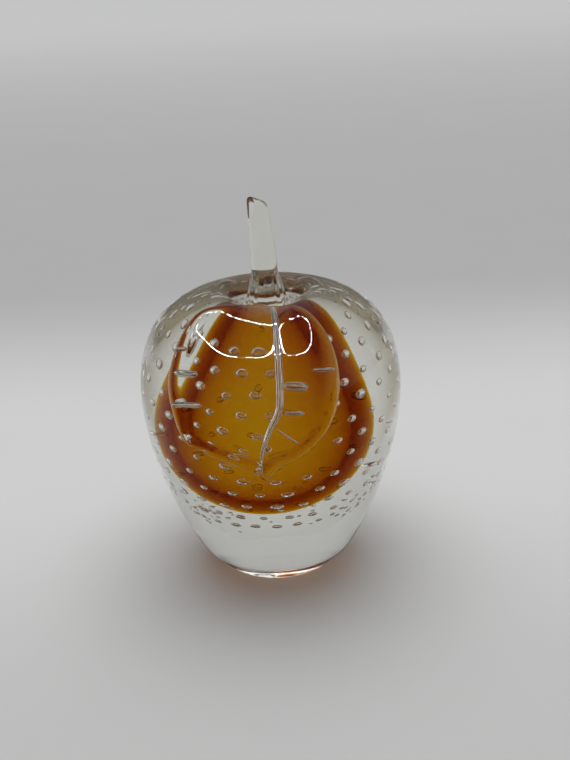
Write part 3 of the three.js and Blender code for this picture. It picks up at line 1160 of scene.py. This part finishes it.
    def air(self, fruit: FruitShape) -> Skin:
        """The air line under the rib, which narrows evenly to the tip, and the pockets of the veins.

        Args:
            fruit: the shape that the leaf lies on.

        Returns:
            All walls of the leaf's air as one surface.
        """
        along = np.linspace(*self.line_span, self.line_points)
        past = np.clip((along - self.line_narrows_after) / (1.0 - self.line_narrows_after), 0.0, 1.0)
        narrow = 1.0 - self.line_narrows_by * past
        body = swelling(np.linspace(0.0, 1.0, self.line_points), self.line_end_power)
        walls = self.channel(
            fruit,
            spline(np.array(self.rib), along),
            self.line_half_wide * narrow * body,
            self.line_half_high * narrow * body,
            self.line_out,
            self.line_fullness,
        )
        share = np.linspace(0.0, 1.0, self.vein_points)
        body = swelling(share, self.vein_end_power)
        for vein in self.veins:
            start = np.array(vein.start)
            pocket = self.channel(
                fruit,
                start + (np.array(vein.end) - start) * share[:, None],
                vein.half_wide * body,
                vein.half_high * body,
                self.vein_out_share * vein.half_high,
                self.vein_fullness,
            )
            walls = walls.joined(pocket)
        return walls

    def channel(
        self,
        fruit: FruitShape,
        route: np.ndarray,
        half_wide: np.ndarray,
        half_high: np.ndarray,
        out: float,
        fullness: float,
    ) -> Skin:
        """A tube of air: a superellipse carried along a route over the fruit.

        Args:
            fruit: the shape that the leaf lies on.
            route: sideways and down over the fruit, one row for each point.
            half_wide: half width at each point.
            half_high: half height at each point.
            out: millimetres from the fruit's surface to the tube's middle.
            fullness: shape of the section, from a diamond at 1 to an ellipse at 2.

        Returns:
            The tube's wall.
        """
        middle = fruit.over(route[:, 0], route[:, 1], out)
        above = unit(fruit.over(route[:, 0], route[:, 1], out + 1.0) - middle)
        side = unit(np.cross(np.gradient(middle, axis=0), above))
        turn = np.linspace(0.0, 2.0 * np.pi, self.tube_sides, endpoint=False)[None, :, None]
        wide, high = rounded(turn, fullness)
        across = side[:, None] * half_wide[:, None, None] * wide
        up = above[:, None] * half_high[:, None, None] * high
        return Skin.from_grid(middle[:, None] + across + up, Coat.AIR)


@dataclass
class StemShape:
    """The stem: a spread foot in the dimple, a tapering rod that leans left and a sheared tip."""

    seat_height: float = 95.5
    foot_radius: float = 7.2
    foot_flare: float = 11.0
    foot_hollow: float = 1.1
    radius: float = 4.6
    tip_radius: float = 3.3
    length: float = 36.3
    bend: float = 1.7
    tip_slant: float = 20.0
    tip_back: float = 12.0
    tip_rounding: float = 2.0
    fillet: float = 0.5
    fillet_height: float = 2.5
    facet_length: float = 7.0
    facet_share: float = 0.45
    facet_clearance: float = 1.12
    facet_turn: float = 215.0
    sunk: float = 0.8
    folds: int = 8
    fold_height: float = 0.3
    fold_fade: float = 1.6
    fold_turn: float = 0.6
    fine_fold_share: float = 0.7
    fine_fold_turn: float = 2.0
    rings: int = 90
    cap_rings: int = 12
    columns: int = 72

    def skin(self) -> Skin:
        """The closed surface of the stem, its foot sunk a little into the seat.

        The radius tapers as the square of the height and spreads as a cone towards the foot, where the
        tool left folds: two sines round the stem, strongest inside the cone. The bend grows as the square
        of the height and the slant of the end as its fourth power. Near the tip one side is cut flat.

        Returns:
            The surface, as rings from the foot to the tip.
        """
        turn = np.linspace(0.0, 2.0 * np.pi, self.columns, endpoint=False)[None]
        height = np.linspace(0.0, self.length - self.tip_rounding, self.rings)
        over = np.linspace(0.0, np.pi / 2, self.cap_rings)
        cap = self.length - self.tip_rounding * (1.0 - np.sin(over))
        inset = np.concatenate([0 * height, self.tip_rounding * (1.0 - np.cos(over)), [self.tip_radius]])
        height = np.concatenate([height, cap, cap[-1:]])
        share = height / self.length
        flare = np.clip(1.0 - height / self.foot_flare, 0.0, 1.0)
        radius = self.radius + (self.tip_radius - self.radius) * share**2
        radius = radius + (self.foot_radius - self.radius) * flare**self.foot_hollow - inset
        radius = radius + self.fillet * np.clip(1.0 - height / self.fillet_height, 0.0, 1.0) ** 2
        radius[-1] = 0.0
        fold = self.fold_height * np.sqrt(flare) * (self.fold_fade - flare)
        fine_fold = np.sin((2 * self.folds + 1) * turn + self.fine_fold_turn)
        ripple = np.sin(self.folds * turn + self.fold_turn) + self.fine_fold_share * fine_fold
        around = radius[:, None] + fold[:, None] * ripple
        x = around * np.cos(turn)
        y = around * np.sin(turn)
        sheared = np.clip(1.0 - (self.length - height) / self.facet_length, 0.0, 1.0)[:, None]
        towards = math.radians(self.facet_turn)
        reach = x * math.cos(towards) + y * math.sin(towards)
        flat = self.tip_radius * (self.facet_clearance - self.facet_share * sheared)
        excess = np.maximum(reach - flat, 0.0) * (sheared > 0)
        x = x - excess * math.cos(towards)
        y = y - excess * math.sin(towards)
        slant = math.tan(math.radians(self.tip_slant))
        back = math.tan(math.radians(self.tip_back))
        lift = self.seat_height + height[:, None] - (x * slant + y * back) * share[:, None] ** 4
        grid = np.stack([x - self.bend * share[:, None] ** 2, y, lift], axis=-1)
        foot = grid[:1] - np.array([0.0, 0.0, self.sunk])
        middle = np.broadcast_to(foot.mean(axis=1, keepdims=True), foot.shape)
        return Skin.from_grid(np.vstack([middle, foot, grid]), Coat.SKIN)


@dataclass
class FootMark:
    """A shallow flat that was pressed into the soft foot, through which the amber shines out."""

    turn: float = 3.14
    half_wide: float = 0.12
    depth: float = 1.5
    full_below: float = 6.0
    none_above: float = 14.0
    core_radius: float = 1.0
    core_share: float = 0.5

    def pressed(self, points: np.ndarray) -> np.ndarray:
        """Points of the casing, moved towards the axis where the mark is.

        The depth is a bell curve round the axis, full near the ground, that ends upwards in a smooth step.
        It is held to a share of the radius, so that no point near the axis crosses it.

        Args:
            points: points in millimetres.

        Returns:
            The moved points.
        """
        radius = np.hypot(points[:, 0], points[:, 1])
        turn = np.arctan2(points[:, 0], -points[:, 1]) - self.turn
        turn = (turn + np.pi) % (2.0 * np.pi) - np.pi
        depth = self.depth * (1.0 - smooth_step(points[:, 2], self.full_below, self.none_above))
        depth = depth * np.exp(-((turn / self.half_wide) ** 2))
        scale = 1.0 - np.minimum(depth / np.maximum(radius, self.core_radius), self.core_share)
        return points * np.stack([scale, scale, np.ones_like(scale)], axis=-1)


@dataclass
class GlassFruit:
    """The whole paperweight: builds each piece, fuses them and hands them to the frame."""

    fruit: FruitShape
    gathers: Gathers = field(default_factory=Gathers)
    bubbles: BubbleNet = field(default_factory=BubbleNet)
    leaf: LeafShape = field(default_factory=LeafShape)
    stem: StemShape = field(default_factory=StemShape)
    foot_mark: FootMark = field(default_factory=FootMark)
    outside_rings: int = 190
    columns: int = 240

    def casing_skin(self) -> Skin:
        """The outer casing: the fruit's outside, and the hollow that the inner gathers fill.

        Returns:
            The closed surface, its hollow coated as a seam.
        """
        path = self.fruit.path()
        outside, _ = path.at(np.linspace(0.0, path.lengths()[-1], self.outside_rings))
        outside = np.vstack([[[0.0, 0.0]], [[self.fruit.base_radius / 2, 0.0]], outside])
        bore = self.gathers.casing.neck_radius + GAP
        hollow = self.gathers.casing.outline(self.gathers.rings, GAP)[::-1]
        inside = np.vstack([[[bore, self.fruit.seat_height]], [[bore, hollow[0, 1]]], hollow[1:]])
        coats = np.full(len(outside) + len(inside) - 1, int(Coat.SEAM))
        coats[: len(outside) - 1] = Coat.SKIN
        skin = turned(np.vstack([outside, inside]), self.columns, coats)
        return Skin(self.foot_mark.pressed(skin.points), skin.faces, skin.coats)

    def build(self) -> list[bpy.types.Object]:
        """Makes every piece, cuts the leaf, the stem and the casing to each other and dresses them.

        Returns:
            The finished objects.
        """
        clear = CLEAR_GLASS.material()
        seam = FusedSeam().material()
        air = TrappedAir().material()
        amber = AMBER_CASED_GLASS.material()
        inner = CLEAR_CASED_GLASS.material()
        sets = {
            "outer_casing": (self.casing_skin(), (clear, seam, air), "clear_glass"),
            "leaf": (self.leaf.skin(self.fruit), (clear, seam, air), "clear_glass"),
            "stem": (self.stem.skin(), (clear, seam, air), "clear_glass"),
            "inner_casing": (self.casing_cup(), (seam, seam, air), "clear_glass"),
            "amber_overlay": (self.amber_cup(), (amber, seam, air), "amber_glass"),
            "heart": (self.heart_cup(), (inner, seam, air), "clear_glass"),
        }
        pieces = {}
        for node, (skin, coats, slot) in sets.items():
            piece = bpy.data.objects.new("glass_" + node, skin.mesh(node))
            bpy.context.scene.collection.objects.link(piece)
            for coat in coats:
                piece.data.materials.append(coat)
            pieces[node] = piece
            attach(piece, BODY)
            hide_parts(node)
        fuse([pieces[node] for node in ("outer_casing", "leaf", "stem")])
        add_islands(pieces["leaf"], self.leaf.air(self.fruit))
        for piece in pieces.values():
            LOG.info("%s: %d faces", piece.name, len(piece.data.polygons))
        return list(pieces.values())

    def casing_cup(self) -> Skin:
        """The inner casing with its beads of air."""
        cup = self.gathers.cup(self.gathers.casing, self.gathers.egg, Coat.SEAM)
        return cup.joined(self.bubbles.beads(self.gathers.casing))

    def amber_cup(self) -> Skin:
        """The amber overlay."""
        return self.gathers.cup(self.gathers.egg, self.gathers.heart, Coat.SKIN)

    def heart_cup(self) -> Skin:
        """The solid clear heart."""
        return self.gathers.cup(self.gathers.heart, None, Coat.SKIN)


def fuse(pieces: list[bpy.types.Object]) -> None:
    """Cuts pieces that run into each other, so that each ends on a seam where the next begins.

    Args:
        pieces: objects whose closed meshes overlap a little where they are fused.
    """
    cutters = []
    for piece in pieces:
        cutter = bpy.data.objects.new("cutter", piece.data.copy())
        cutter.data.polygons.foreach_set("material_index", [int(Coat.SEAM)] * len(cutter.data.polygons))
        bpy.context.scene.collection.objects.link(cutter)
        cutters.append(cutter)
    results = []
    for piece in pieces:
        for other, cutter in zip(pieces, cutters):
            if other is piece:
                continue
            cut = piece.modifiers.new("fuse", "BOOLEAN")
            cut.operation = "DIFFERENCE"
            cut.solver = "EXACT"
            cut.object = cutter
        graph = bpy.context.evaluated_depsgraph_get()
        results.append(bpy.data.meshes.new_from_object(piece.evaluated_get(graph), depsgraph=graph))
    for piece, mesh in zip(pieces, results):
        piece.modifiers.clear()
        piece.data = mesh
        mark_seams(mesh)
    for cutter in cutters:
        bpy.data.objects.remove(cutter)


def mark_seams(mesh: bpy.types.Mesh) -> None:
    """Makes edges between faces of different coats sharp, so that shading doesn't run over a seam.

    Args:
        mesh: the mesh to mark.
    """
    shape = bmesh.new()
    shape.from_mesh(mesh)
    for edge in shape.edges:
        coats = {face.material_index for face in edge.link_faces}
        edge.smooth = len(coats) < 2
    shape.to_mesh(mesh)
    shape.free()


def add_islands(piece: bpy.types.Object, skin: Skin) -> None:
    """Adds closed surfaces, such as air pockets, to a finished piece.

    Args:
        piece: the object that holds them.
        skin: the surfaces.
    """
    islands = skin.mesh("islands")
    shape = bmesh.new()
    shape.from_mesh(piece.data)
    shape.from_mesh(islands)
    shape.to_mesh(piece.data)
    shape.free()
    bpy.data.meshes.remove(islands)


# Studio


@dataclass
class Studio:
    """A pale sheet in a white light tent with a ring of small lamps overhead, and the camera.

    The light's ramps go by a direction's part along one axis: towards the soft cap for the sheet light,
    up for the walls and the zenith, back for the front's share and sideways for the sides. What the skin
    mirrors goes by the larger of sideways and back.
    """

    eye_mm: tuple[float, float, float] = (5.0, -352.6, 216.8)
    pitch: float = 23.0
    roll: float = -2.55
    focal_px: float = 1100.0
    frame_height_px: int = 760
    sensor_mm: float = 36.0
    near_clip_m: float = 0.01
    table_rings_mm: tuple[float, ...] = (0.0, 40.0, 120.0, 400.0, 1500.0, 8000.0)
    table_drop_mm: float = 0.05
    table_columns: int = 64
    sheet_light: Ramp = Ramp(0.75, 0.97, 0.14, 3.45)
    sheet_light_from: tuple[float, float, float] = (0.0, 0.17, 0.985)
    backdrop_light: float = 0.56
    tent_colour: str = "#fdfeff"
    wall_light: Ramp = Ramp(0.3, 1.0, 0.55, 0.12)
    front_share: Ramp = Ramp(-0.8, -0.2, 0.5, 1.0)
    zenith_light: Ramp = Ramp(0.93, 0.985, 0.0, 1.8)
    side_light: Ramp = Ramp(0.75, 0.97, 0.0, 0.5)
    mirrored_light: Ramp = Ramp(0.4, 0.9, 0.06, 0.22)
    lamp_count: int = 130
    lamp_mm: float = 3.8
    ring_points: int = 400
    ring_fullness: float = 4.0
    ring_mm: tuple[float, float] = (140.0, 310.0)
    ring_centre_mm: tuple[float, float, float] = (-20.0, -55.0, 330.0)
    glass_bounces: int = 32
    mirror_bounces: int = 12
    seam_passes: int = 96

    def camera(self) -> None:
        """Puts the camera where the photograph was taken from."""
        pitch = math.radians(self.pitch)
        roll = math.radians(self.roll)
        ahead = np.array([0.0, math.cos(pitch), -math.sin(pitch)])
        level = np.array([1.0, 0.0, 0.0])
        above = np.cross(level, ahead)
        right = math.cos(roll) * level + math.sin(roll) * above
        up = math.cos(roll) * above - math.sin(roll) * level
        data = bpy.data.cameras.new("camera")
        data.sensor_fit = "VERTICAL"
        data.sensor_height = self.sensor_mm
        data.lens = self.focal_px / self.frame_height_px * self.sensor_mm
        data.clip_start = self.near_clip_m
        camera = bpy.data.objects.new("camera", data)
        turn = Matrix(np.column_stack([right, up, -ahead]).tolist()).to_4x4()
        camera.matrix_world = Matrix.Translation([value * MM for value in self.eye_mm]) @ turn
        bpy.context.scene.collection.objects.link(camera)
        bpy.context.scene.camera = camera

    def table(self) -> None:
        """Lays the pale sheet under the fruit."""
        reach = np.array(self.table_rings_mm)
        rings = np.stack([reach, np.full_like(reach, -self.table_drop_mm)], axis=-1)
        sheet = turned(rings, self.table_columns, Coat.SKIN)
        table = bpy.data.objects.new("table", sheet.mesh("table"))
        table.data.materials.append(PaleTable().material())
        bpy.context.scene.collection.objects.link(table)

    def lamps(self) -> None:
        """Hangs the ring of small square lamps, which only show as reflections."""
        wide, deep = rounded(np.linspace(0.0, 2.0 * np.pi, self.ring_points), self.ring_fullness)
        ring = np.stack([wide * self.ring_mm[0] / 2, deep * self.ring_mm[1] / 2, 0 * wide], axis=-1)
        along = run_length(ring)
        spot = np.arange(self.lamp_count) / self.lamp_count * along[-1]
        place = read_off(spot, along, ring) + np.array(self.ring_centre_mm)
        half = self.lamp_mm / 2
        corner = np.array([[-half, -half, 0], [-half, half, 0], [half, half, 0], [half, -half, 0]])
        points = (place[:, None] + corner[None]).reshape(-1, 3)
        coats = np.full(self.lamp_count, int(Coat.SKIN))
        skin = Skin(points, np.arange(len(points)).reshape(-1, 4), coats)
        lamps = bpy.data.objects.new("lamp_ring", skin.mesh("lamp_ring"))
        lamps.data.materials.append(LampGlow().material())
        lamps.visible_camera = False
        lamps.visible_diffuse = False
        lamps.visible_transmission = False
        lamps.visible_shadow = False
        bpy.context.scene.collection.objects.link(lamps)

    def room(self) -> None:
        """Lights the sheet from above and shows the glass a tent of pale walls under a dim roof.

        Light that falls on the sheet, also through the glass, comes from a soft cap overhead. Through the
        glass the walls fade to the roof with height. In the glass's skin the room mirrors as dim, and
        paler to both sides.
        """
        world = bpy.data.worlds.new("light_tent")
        world.use_nodes = True
        tree = world.node_tree
        tree.nodes.clear()
        place = add_node(tree, "ShaderNodeTexCoord").outputs["Generated"]
        axes = add_node(tree, "ShaderNodeSeparateXYZ", {"Vector": place}).outputs
        sideways = add_node(tree, "ShaderNodeMath", {0: axes["X"]}, operation="ABSOLUTE").outputs[0]
        above = add_node(
            tree, "ShaderNodeVectorMath", {0: place, 1: self.sheet_light_from}, operation="DOT_PRODUCT"
        ).outputs["Value"]
        across = add_node(
            tree, "ShaderNodeMath", {0: sideways, 1: axes["Y"]}, operation="MAXIMUM"
        ).outputs[0]
        sheet, wall, front, zenith, side_wall, mirror = (
            add_node(tree, "ShaderNodeMapRange", ramp.sockets(along), **SMOOTH).outputs[0]
            for ramp, along in (
                (self.sheet_light, above),
                (self.wall_light, axes["Z"]),
                (self.front_share, axes["Y"]),
                (self.zenith_light, axes["Z"]),
                (self.side_light, sideways),
                (self.mirrored_light, across),
            )
        )
        tent = add_node(tree, "ShaderNodeMath", {0: wall, 1: front}, operation="MULTIPLY").outputs[0]
        for light in (zenith, side_wall):
            tent = add_node(tree, "ShaderNodeMath", {0: tent, 1: light}, operation="ADD").outputs[0]
        mirrored, passed = bent_light(tree)
        seen = add_node(tree, "ShaderNodeLightPath").outputs["Is Camera Ray"]
        level = sheet
        for ray, light in ((passed, tent), (mirrored, mirror), (seen, self.backdrop_light)):
            level = add_node(
                tree, "ShaderNodeMix", {0: ray, 2: level, 3: light}, data_type="FLOAT"
            ).outputs[0]
        sky = add_node(
            tree, "ShaderNodeBackground", {"Color": linear(self.tent_colour), "Strength": level}
        )
        add_node(tree, "ShaderNodeOutputWorld", {"Surface": sky.outputs["Background"]})
        bpy.context.scene.world = world

    def build(self) -> None:
        """Sets up the camera, the table and the light, and how far light is followed through glass."""
        scene = bpy.context.scene
        scene.view_settings.view_transform = "Standard"
        scene.cycles.max_bounces = self.glass_bounces
        scene.cycles.transmission_bounces = self.glass_bounces
        scene.cycles.glossy_bounces = self.mirror_bounces
        scene.cycles.transparent_max_bounces = self.seam_passes
        scene.cycles.caustics_reflective = False
        self.camera()
        self.table()
        self.lamps()
        self.room()


def main() -> None:
    """Builds the fruit in its frame, then the studio."""
    logging.basicConfig(level=logging.INFO, format="%(message)s")
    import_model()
    GlassFruit(FruitShape.from_frame()).build()
    Studio().build()
    LOG.info("sizes written")


if __name__ == "__main__":
    main()
